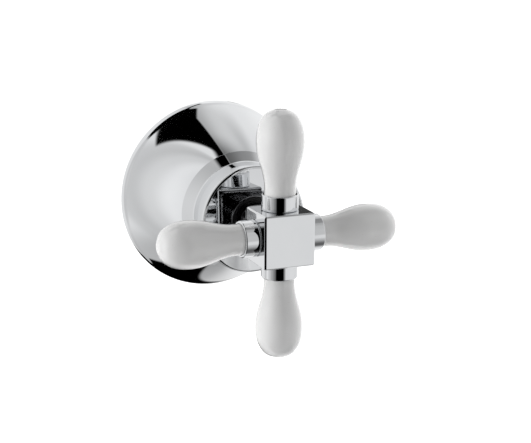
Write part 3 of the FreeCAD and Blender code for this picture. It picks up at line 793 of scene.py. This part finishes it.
def turned_piece(name, outline, steps=ROUND_STEPS):
    """A closed outline of (radius, reach) points in mm, turned round the spindle."""
    shape = bmesh.new()
    loops = []
    for radius, reach in outline:
        count = steps if radius > 0 else 1
        loops.append([
            shape.verts.new((
                radius * math.cos(2 * math.pi * step / steps) * MM,
                -reach * MM,
                radius * math.sin(2 * math.pi * step / steps) * MM,
            ))
            for step in range(count)
        ])
    closed = outline[0][0] > 0 and outline[-1][0] > 0
    pairs = list(zip(loops, loops[1:])) + ([(loops[-1], loops[0])] if closed else [])
    for first, second in pairs:
        for step in range(steps):
            ahead = (step + 1) % steps
            if len(first) == 1:
                shape.faces.new((first[0], second[ahead], second[step]))
            elif len(second) == 1:
                shape.faces.new((first[step], first[ahead], second[0]))
            else:
                shape.faces.new((first[step], first[ahead], second[ahead], second[step]))
    bmesh.ops.recalc_face_normals(shape, faces=shape.faces)
    return finish_mesh(name, shape)


def prism_piece(name, outline, place):
    """An outline of points pushed along the third axis. place gives each point its vector."""
    shape = bmesh.new()
    ends = [[shape.verts.new(place(across, along, end) * MM) for across, along in outline] for end in (0, 1)]
    for loop in ends:
        shape.faces.new(loop)
    count = len(outline)
    for index in range(count):
        ahead = (index + 1) % count
        shape.faces.new((ends[0][index], ends[0][ahead], ends[1][ahead], ends[1][index]))
    bmesh.ops.recalc_face_normals(shape, faces=shape.faces)
    return finish_mesh(name, shape)


def finish_mesh(name, shape):
    mesh = bpy.data.meshes.new(name)
    shape.to_mesh(mesh)
    shape.free()
    return link_object(name, mesh)


def bake_modifiers(piece):
    """Replaces a new piece's mesh by what its modifiers make of it."""
    graph = bpy.context.evaluated_depsgraph_get()
    baked = bpy.data.meshes.new_from_object(piece.evaluated_get(graph))
    piece.modifiers.clear()
    piece.data = baked


def boolean(piece, operation, *tools):
    """Joins pieces to a piece, or cuts them from it, and takes the tools away."""
    for tool in tools:
        modifier = piece.modifiers.new(tool.name, "BOOLEAN")
        modifier.operation = operation
        modifier.solver = "EXACT"
        modifier.object = tool
        bake_modifiers(piece)
        bpy.data.objects.remove(tool)


def shade(piece, sharp_degrees):
    """Smooth shading with sharp edges at more than an angle. Big faces keep their own normals."""
    piece.data.polygons.foreach_set("use_smooth", [True] * len(piece.data.polygons))
    piece.data.set_sharp_from_angle(angle=math.radians(sharp_degrees))
    weighted = piece.modifiers.new("weighted", "WEIGHTED_NORMAL")
    weighted.keep_sharp = True
    bake_modifiers(piece)


def dress(piece, node, body, finish):
    """Lets a new piece stand for a CAD node."""
    piece.data.materials.clear()
    piece.data.materials.append(finish)
    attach(piece, body)
    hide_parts(node)


print("lathe with", ROUND_STEPS, "steps")

# %% [markdown]
# ## The escutcheon
#
# The dome is spun from sheet, so it has no hard crease: the bead at the rim runs into
# the dome in a small hollow, and the dome runs into its flat ledge over a small round.
# An outline with sharp corners would show a thin bright line there, all round. So the
# outline is drawn with many points, and then each point near the corner at the bead
# moves towards the middle of its neighbours, a few times. The rest of the outline stays
# as it is, the corner at the ledge too.

# %% Spin the escutcheon
RIM_RADIUS, BEAD_TOP = 35.0, (34.05, 2.9)
LEDGE_RADIUS, LEDGE_REACH = 21.4, 28.4
DOME_BULGE, BEAD_BULGE = 0.6, 0.13
SHELL_THICKNESS, LEDGE_THICKNESS = 1.6, 1.9
HOLE_RADIUS, GUIDE_RADIUS, GUIDE_REAR = 14.5, 17.2, 23.9
GROOVE_RADIUS, GROOVE_FRONT, GROOVE_REAR = 15.4, 26.8, 25.5


def bulged(first, last, bulge, steps):
    """Points from a first to a last point, which swell to the outside by a bulge."""
    first, last = Vector(first), Vector(last)
    along = last - first
    outwards = Vector((along.y, -along.x)).normalized()
    points = []
    for step in range(steps + 1):
        share = step / steps
        points.append(first + along * share + outwards * bulge * 4 * share * (1 - share))
    return points


def relaxed(points, corner, reach, passes):
    """Rounds a polyline near one of its corners."""
    corner = Vector(corner)
    for _ in range(passes):
        moved = [
            (before + 2 * here + after) / 4 if (here - corner).length < reach else here
            for before, here, after in zip(points, points[1:], points[2:])
        ]
        points = [points[0]] + moved + [points[-1]]
    return points


inner_foot = (BEAD_TOP[0] - SHELL_THICKNESS, BEAD_TOP[1])
inner_ledge = (LEDGE_RADIUS - SHELL_THICKNESS, LEDGE_REACH - LEDGE_THICKNESS)
outside = bulged((RIM_RADIUS, 0), BEAD_TOP, BEAD_BULGE, 12)
outside += bulged(BEAD_TOP, (LEDGE_RADIUS, LEDGE_REACH), DOME_BULGE, 120)[1:]
outside = relaxed(outside, BEAD_TOP, reach=0.8, passes=6)
inside = [
    (HOLE_RADIUS, LEDGE_REACH), (HOLE_RADIUS, GROOVE_FRONT), (GROOVE_RADIUS, GROOVE_FRONT),
    (GROOVE_RADIUS, GROOVE_REAR), (HOLE_RADIUS, GROOVE_REAR), (HOLE_RADIUS, GUIDE_REAR),
    (GUIDE_RADIUS, GUIDE_REAR), (GUIDE_RADIUS, inner_ledge[1]),
]
inside += bulged(inner_ledge, inner_foot, -DOME_BULGE, 40)
inside.append((RIM_RADIUS - SHELL_THICKNESS, 0))
shell = turned_piece("spun_shell", outside + inside, steps=256)
shade(shell, sharp_degrees=20)
dress(shell, "escutcheon", "housing", plated_shell)
print("shell:", len(shell.data.polygons), "faces")

# %% [markdown]
# ## The collar
#
# The collar clamps the escutcheon. Its sloping foot shows as a darker band and its
# straight ring as a lighter one, and how fast one runs into the other depends on the
# round between them. The foot stands right at the edge of the ledge, so that no flat
# strip of it is left to flash. The corners at the waist, at the front and at the hole
# are arcs, worked out from their two sides.

# %% Turn the collar
COLLAR_FOOT, FOOT_LAND = (21.4, 28.4), (21.4, 28.52)
COLLAR_WAIST, COLLAR_FRONT = (18.3, 32.5), (18.45, 42.6)
COLLAR_HOLE_RADIUS, COLLAR_FACE_REAR = 8.5, 40.2
COLLAR_BORE_RADIUS, COLLAR_THREAD_RADIUS, THREAD_END = 13.2, 14.25, 37.6
WAIST_ROUND, FRONT_ROUND, HOLE_ROUND = 1.2, 0.6, 0.3


def eased(before, corner, after, radius, steps=8):
    """The arc that rounds a corner between two neighbouring points of an outline."""
    corner = Vector(corner)
    back, ahead = (Vector(before) - corner).normalized(), (Vector(after) - corner).normalized()
    half_angle = back.angle(ahead) / 2
    centre = corner + (back + ahead).normalized() * (radius / math.sin(half_angle))
    first = corner + back * (radius / math.tan(half_angle)) - centre
    last = corner + ahead * (radius / math.tan(half_angle)) - centre
    return [centre + first.slerp(last, step / steps) for step in range(steps + 1)]


hole_front = (COLLAR_HOLE_RADIUS, COLLAR_FRONT[1])
hole_rear = (COLLAR_HOLE_RADIUS, COLLAR_FACE_REAR)
collar_outline = [COLLAR_FOOT, FOOT_LAND]
collar_outline += eased(FOOT_LAND, COLLAR_WAIST, COLLAR_FRONT, WAIST_ROUND)
collar_outline += eased(COLLAR_WAIST, COLLAR_FRONT, hole_front, FRONT_ROUND)
collar_outline += eased(COLLAR_FRONT, hole_front, hole_rear, HOLE_ROUND)
collar_outline += [
    hole_rear, (COLLAR_BORE_RADIUS, COLLAR_FACE_REAR), (COLLAR_BORE_RADIUS, THREAD_END),
    (COLLAR_THREAD_RADIUS, THREAD_END), (COLLAR_THREAD_RADIUS, COLLAR_FOOT[1]),
]
collar = turned_piece("turned_collar", collar_outline, steps=256)
shade(collar, sharp_degrees=20)
dress(collar, "collar", "housing", chrome)
print("collar:", len(collar.data.polygons), "faces")

# %% [markdown]
# ## The hub
#
# The hub is a block of polished brass, plated. Its big faces are flat mirrors, and
# each edge is a narrow mirror of its own that looks elsewhere. The upright edges at
# the front are eased more across than back, so they show the black gap in front: that
# is the dark line beside the front face. The edges above and below have an even bevel.
# A last tiny round on all of them gives the thin light line that a real edge has.

# %% Shape the hub
HUB_SIDE = 17.7
HUB_FRONT, HUB_REAR = 73.9, 57.9
EASE_ACROSS, EASE_BACK = 0.62, 0.30
EDGE_BEVEL, REAR_BEVEL = 0.42, 0.25
EDGE_ROUND, ROUND_FROM_DEGREES = 0.1, 15


def upright_through_spindle(across, reach, end):
    return Vector((across, -reach, HUB_SIDE * (end - 0.5)))


def bevel(shape, edges, width, segments):
    bmesh.ops.bevel(shape, geom=edges, offset=width * MM, segments=segments, profile=0.5, affect="EDGES")


def is_level(side):
    return abs(side.verts[0].co.z - side.verts[1].co.z) < MM / 1000


half = HUB_SIDE / 2
hub_outline = [
    (-half, HUB_REAR + REAR_BEVEL), (-half, HUB_FRONT - EASE_BACK), (-half + EASE_ACROSS, HUB_FRONT),
    (half - EASE_ACROSS, HUB_FRONT), (half, HUB_FRONT - EASE_BACK), (half, HUB_REAR + REAR_BEVEL),
    (half - REAR_BEVEL, HUB_REAR), (-half + REAR_BEVEL, HUB_REAR),
]
hub = prism_piece("hub_block", hub_outline, upright_through_spindle)
shape = bmesh.new()
shape.from_mesh(hub.data)
bevel(shape, [side for side in shape.edges if is_level(side)], EDGE_BEVEL, segments=1)
sharp_sides = [side for side in shape.edges if side.calc_face_angle(0) > math.radians(ROUND_FROM_DEGREES)]
bevel(shape, sharp_sides, EDGE_ROUND, segments=2)
shape.to_mesh(hub.data)
shape.free()
print("block:", len(hub.data.vertices), "points")

# %% [markdown]
# ## The back of the hub
#
# Behind the block come the smaller plate with its rounded corners, and the boss with
# the bore for the spindle's extension and the hole for the grub screw. All of it is
# one casting, so the plate and the boss are joined to the block before the holes are
# drilled. The back isn't buffed, so behind the block's rear face the same chrome gets
# duller. Its colour is also darker there: that is painted shade for the dark space
# between the hub and the collar.

# %% Add the plate and the boss, and drill them
PLATE_SIDE, PLATE_REAR, PLATE_CORNER = 16.3, 54.9, 1.7
BOSS_RADIUS, BOSS_END, BOSS_BEVEL = 6.5, 37.6, 0.4
BORE_RADIUS, BORE_FLOOR = 4.0, 56.8
GRUB_RADIUS, GRUB_REACH = 2.0, 48.75
OVERLAP = 1.0
# The dark colour of the hub's back is painted shade for the dark space between the hub and the collar.
PAINTED_SHADE_CHROME = (0.15, 0.15, 0.155, 1)
DULL_AND_SHADED_FROM = (0.03, 0.005)


def rounded_square(side, corner, steps=8):
    """The outline of a square with round corners."""
    points = []
    inner = side / 2 - corner
    for turn, (sign_x, sign_z) in enumerate(((1, 1), (-1, 1), (-1, -1), (1, -1))):
        for step in range(steps + 1):
            angle = math.pi / 2 * (turn + step / steps)
            x, z = sign_x * inner + corner * math.cos(angle), sign_z * inner + corner * math.sin(angle)
            points.append((x, z))
    return points


def across_spindle(rear, front):
    return lambda x, z, end: Vector((x, -(rear + (front - rear) * end), z))


def rod(name, radius, rear, front, steps=ROUND_STEPS):
    """A plain round rod on the spindle's axis."""
    return turned_piece(name, [(0, rear), (radius, rear), (radius, front), (0, front)], steps)


plate_outline = rounded_square(PLATE_SIDE, PLATE_CORNER)
plate = prism_piece("plate", plate_outline, across_spindle(PLATE_REAR, HUB_REAR + OVERLAP))
boss = turned_piece("boss", [
    (0, BOSS_END), (BOSS_RADIUS - BOSS_BEVEL, BOSS_END), (BOSS_RADIUS, BOSS_END + BOSS_BEVEL),
    (BOSS_RADIUS, HUB_REAR + OVERLAP), (0, HUB_REAR + OVERLAP),
])
bore = rod("bore", BORE_RADIUS, BOSS_END - OVERLAP, BORE_FLOOR)
grub_hole = rod("grub_hole", GRUB_RADIUS, 0, BOSS_RADIUS + OVERLAP, steps=48)
turned_down = Matrix.Rotation(math.pi / 2, 4, "X")
grub_hole.data.transform(Matrix.Translation((0, -GRUB_REACH * MM, 0)) @ turned_down)
boolean(hub, "UNION", plate, boss)
boolean(hub, "DIFFERENCE", bore, grub_hole)
shade(hub, sharp_degrees=12)


def hub_chrome(link):
    place = object_place(link)
    _, y, _ = place.axes()
    bright, gloss, wave = polish(link, place)
    grain = noise(link, place, 900.0, detail=3.0)
    # Behind the rear face the chrome is rougher, and its colour is darkened as painted shade.
    dull_and_shaded = y.rise(*[(-HUB_REAR - depth) * MM for depth in DULL_AND_SHADED_FROM])
    return link.surface({
        "Metallic": 1.0,
        "Base Color": dull_and_shaded.blend(bright, PAINTED_SHADE_CHROME),
        "Roughness": gloss + dull_and_shaded * (0.05 + 0.07 * grain),
        "Normal": bump(link, wave, MM),
    })


dress(hub, "hub", "handle", material("hub_chrome", hub_chrome))
print("hub:", len(hub.data.polygons), "faces")

# %% [markdown]
# ## The cast body
#
# The body is poured in a sand mould, so every inner corner is filled by a soft fillet.
# Pieces that simply overlap don't have that. A voxel remesh turns the heap of shapes
# into one skin, and smoothing that skin runs the corners into each other as the cast
# metal does. The ends and the neck's front stay a little too long, to be cut later.

# %% Pour the body
BARREL_RADIUS = 12.2
PORT_FLATS, PORT_LENGTH = 24.8, 9.5
NECK_RADIUS = 14.0
REAR_BOSS_RADIUS, REAR_BOSS_END, REAR_BOSS_BEVEL = 9.0, -32.4, 1.2
MACHINING_SPARE = 1.2
VOXEL_MM = 0.55
SMOOTHING_PASSES = 8


def along_pipe(low, high):
    return lambda x, depth, end: Vector((x, PIPE_DEPTH + depth, low + (high - low) * end))


def circle(radius, steps, turn=0.0):
    """Points round a circle. The turn is a share of one step."""
    angles = [2 * math.pi * (step + turn) / steps for step in range(steps)]
    return [(radius * math.cos(angle), radius * math.sin(angle)) for angle in angles]


cast_end = BODY_HALF_LENGTH + MACHINING_SPARE
octagon = circle(PORT_FLATS / 2 / math.cos(math.pi / 8), 8, turn=0.5)
body = prism_piece("cast_body", circle(BARREL_RADIUS, 96), along_pipe(-cast_end, cast_end))
lower_end = prism_piece("lower_end", octagon, along_pipe(-cast_end, PORT_LENGTH - BODY_HALF_LENGTH))
upper_end = prism_piece("upper_end", octagon, along_pipe(BODY_HALF_LENGTH - PORT_LENGTH, cast_end))
neck = rod("neck", NECK_RADIUS, -PIPE_DEPTH, NECK_FRONT_REACH + MACHINING_SPARE)
rear_boss = turned_piece("rear_boss", [
    (0, -PIPE_DEPTH), (REAR_BOSS_RADIUS, -PIPE_DEPTH), (REAR_BOSS_RADIUS, REAR_BOSS_END + REAR_BOSS_BEVEL),
    (REAR_BOSS_RADIUS - REAR_BOSS_BEVEL, REAR_BOSS_END), (0, REAR_BOSS_END),
])
boolean(body, "UNION", lower_end, upper_end, neck, rear_boss)
remesh = body.modifiers.new("skin", "REMESH")
remesh.mode = "VOXEL"
remesh.voxel_size = VOXEL_MM * MM
smooth = body.modifiers.new("fillets", "SMOOTH")
smooth.factor = 0.5
smooth.iterations = SMOOTHING_PASSES
bake_modifiers(body)
print("skin:", len(body.data.polygons), "faces")

# %% [markdown]
# ## The cut faces of the body
#
# After the founder comes the machinist, who cuts the end faces flat, bores the water
# way and the neck, and cuts the two pipe threads. Each cut is a Boolean with the shape
# of the tool. The tool for a thread is a plug whose radius depends on the turn and on
# the height together.

# %% Machine the body
THREAD_PITCH = 1.814
THREAD_FLANK_SLOPE, THREAD_CREST = 3.5, 1.25
PLUG_STEPS, PLUG_ROWS_PER_PITCH = 72, 10
RUN_OUT, DRILL_OVERLAP = 6.0, 0.5
FACING_RADIUS, NECK_FACING_RADIUS, NECK_CUT_FRONT = 40, 30, 12
INLET_RADIUS, INLET_OFFSET = 5.0, 4.2
OUTLET_RADIUS, OUTLET_OFFSET, OUTLET_START = 4.4, -4.8, 8.0
POCKET_RADIUS, POCKET_FLOOR = 6.0, -28.8
LIP_REACH, LIP_FOOT = -14.6, -15.4
LIP_RADIUS, LIP_FOOT_RADIUS = 7.1, 7.6
CHAMBER_RADIUS, CHAMBER_FRONT = 9.6, -5.0
NECK_BORE_RADIUS = 10.25


def threaded_plug(name, low, high):
    """A plug whose surface is a pipe thread."""
    rows = int((high - low) / THREAD_PITCH * PLUG_ROWS_PER_PITCH)
    shape = bmesh.new()
    loops = []
    for row in range(rows + 1):
        height = low + (high - low) * row / rows
        loop = []
        for step in range(PLUG_STEPS):
            wave = (height / THREAD_PITCH - step / PLUG_STEPS) % 1
            ridge = min(1, max(0, THREAD_CREST - abs(wave - 0.5) * THREAD_FLANK_SLOPE))
            radius = PORT_THREAD_RADIUS + THREAD_HEIGHT * ridge
            angle = 2 * math.pi * step / PLUG_STEPS
            place = Vector((radius * math.cos(angle), PIPE_DEPTH + radius * math.sin(angle), height))
            loop.append(shape.verts.new(place * MM))
        loops.append(loop)
    for first, second in zip(loops, loops[1:]):
        for step in range(PLUG_STEPS):
            ahead = (step + 1) % PLUG_STEPS
            shape.faces.new((first[step], first[ahead], second[ahead], second[step]))
    shape.faces.new(loops[0])
    shape.faces.new(loops[-1])
    bmesh.ops.recalc_face_normals(shape, faces=shape.faces)
    return finish_mesh(name, shape)


def pipe_drill(name, radius, offset, low, high):
    outline = [(x, y + offset) for x, y in circle(radius, 64)]
    return prism_piece(name, outline, along_pipe(low, high))


far = BODY_HALF_LENGTH + RUN_OUT
facing_cutter = circle(FACING_RADIUS, 8)
boolean(
    body, "DIFFERENCE",
    prism_piece("lower_facing", facing_cutter, along_pipe(-far, -BODY_HALF_LENGTH)),
    prism_piece("upper_facing", facing_cutter, along_pipe(BODY_HALF_LENGTH, far)),
    rod("neck_facing", NECK_FACING_RADIUS, NECK_FRONT_REACH, NECK_CUT_FRONT),
    turned_piece("water_way", [
        (0, POCKET_FLOOR), (POCKET_RADIUS, POCKET_FLOOR), (POCKET_RADIUS, LIP_REACH),
        (LIP_RADIUS, LIP_REACH), (LIP_FOOT_RADIUS, LIP_FOOT), (CHAMBER_RADIUS, LIP_FOOT),
        (CHAMBER_RADIUS, CHAMBER_FRONT), (NECK_BORE_RADIUS, CHAMBER_FRONT),
        (NECK_BORE_RADIUS, NECK_CUT_FRONT), (0, NECK_CUT_FRONT),
    ]),
    pipe_drill("inlet", INLET_RADIUS, INLET_OFFSET, -THREAD_FLOOR - DRILL_OVERLAP, 0),
    pipe_drill("outlet", OUTLET_RADIUS, OUTLET_OFFSET, OUTLET_START, THREAD_FLOOR + DRILL_OVERLAP),
    threaded_plug("lower_thread", -far, -THREAD_FLOOR),
    threaded_plug("upper_thread", THREAD_FLOOR, far),
)
shade(body, sharp_degrees=34)
dress(body, "valve_body", "housing", brass_cast)
print("body:", len(body.data.polygons), "faces, box", [round(x / MM, 1) for x in body.dimensions])

# %% [markdown]
# ## The gasket on the wall
#
# The rubber ring inside the rim seals against the tiles. A flat ring would slide and
# leak, so the moulded one has fine concentric ribs on the face that meets the wall,
# and rounded edges. They are part of one outline, turned on the lathe above.

# %% Mould the ribs
GASKET_INNER, GASKET_OUTER = 31.15, 33.35
GASKET_HEIGHT, GASKET_LEAN = 2.1, 0.727
GASKET_FOOT_HEIGHT, OUTER_FOOT_INSET, INNER_FOOT_OUTSET, TOP_INSET = 0.5, 0.2, 0.05, 0.1
RIBS, RIB_DEPTH, RIBS_OUTER_INSET = 4, 0.3, 0.15
RIB_SHARES = ((0.08, 1.0), (0.3, 0.15), (0.5, 0.0), (0.7, 0.15), (0.92, 1.0))

rib_pitch = (GASKET_OUTER - RIBS_OUTER_INSET - GASKET_INNER) / RIBS
gasket_outline = []
for index in range(RIBS):
    start = GASKET_INNER + rib_pitch * index
    for share, depth in RIB_SHARES:
        gasket_outline.append((start + rib_pitch * share, RIB_DEPTH * depth))
gasket_outline += [
    (GASKET_OUTER - OUTER_FOOT_INSET, GASKET_FOOT_HEIGHT), (GASKET_OUTER - GASKET_LEAN, GASKET_HEIGHT),
    (GASKET_INNER - GASKET_LEAN + TOP_INSET, GASKET_HEIGHT),
    (GASKET_INNER - INNER_FOOT_OUTSET, GASKET_FOOT_HEIGHT),
]
gasket = turned_piece("ribbed_gasket", gasket_outline, steps=192)
shade(gasket, sharp_degrees=50)
dress(gasket, "wall_gasket", "housing", finishes["rubber"])
print("gasket:", RIBS, "ribs")

# %% [markdown]
# ## Sizes at the end
#
# A new piece may never reach past the solids, or the valve wouldn't fit its place.
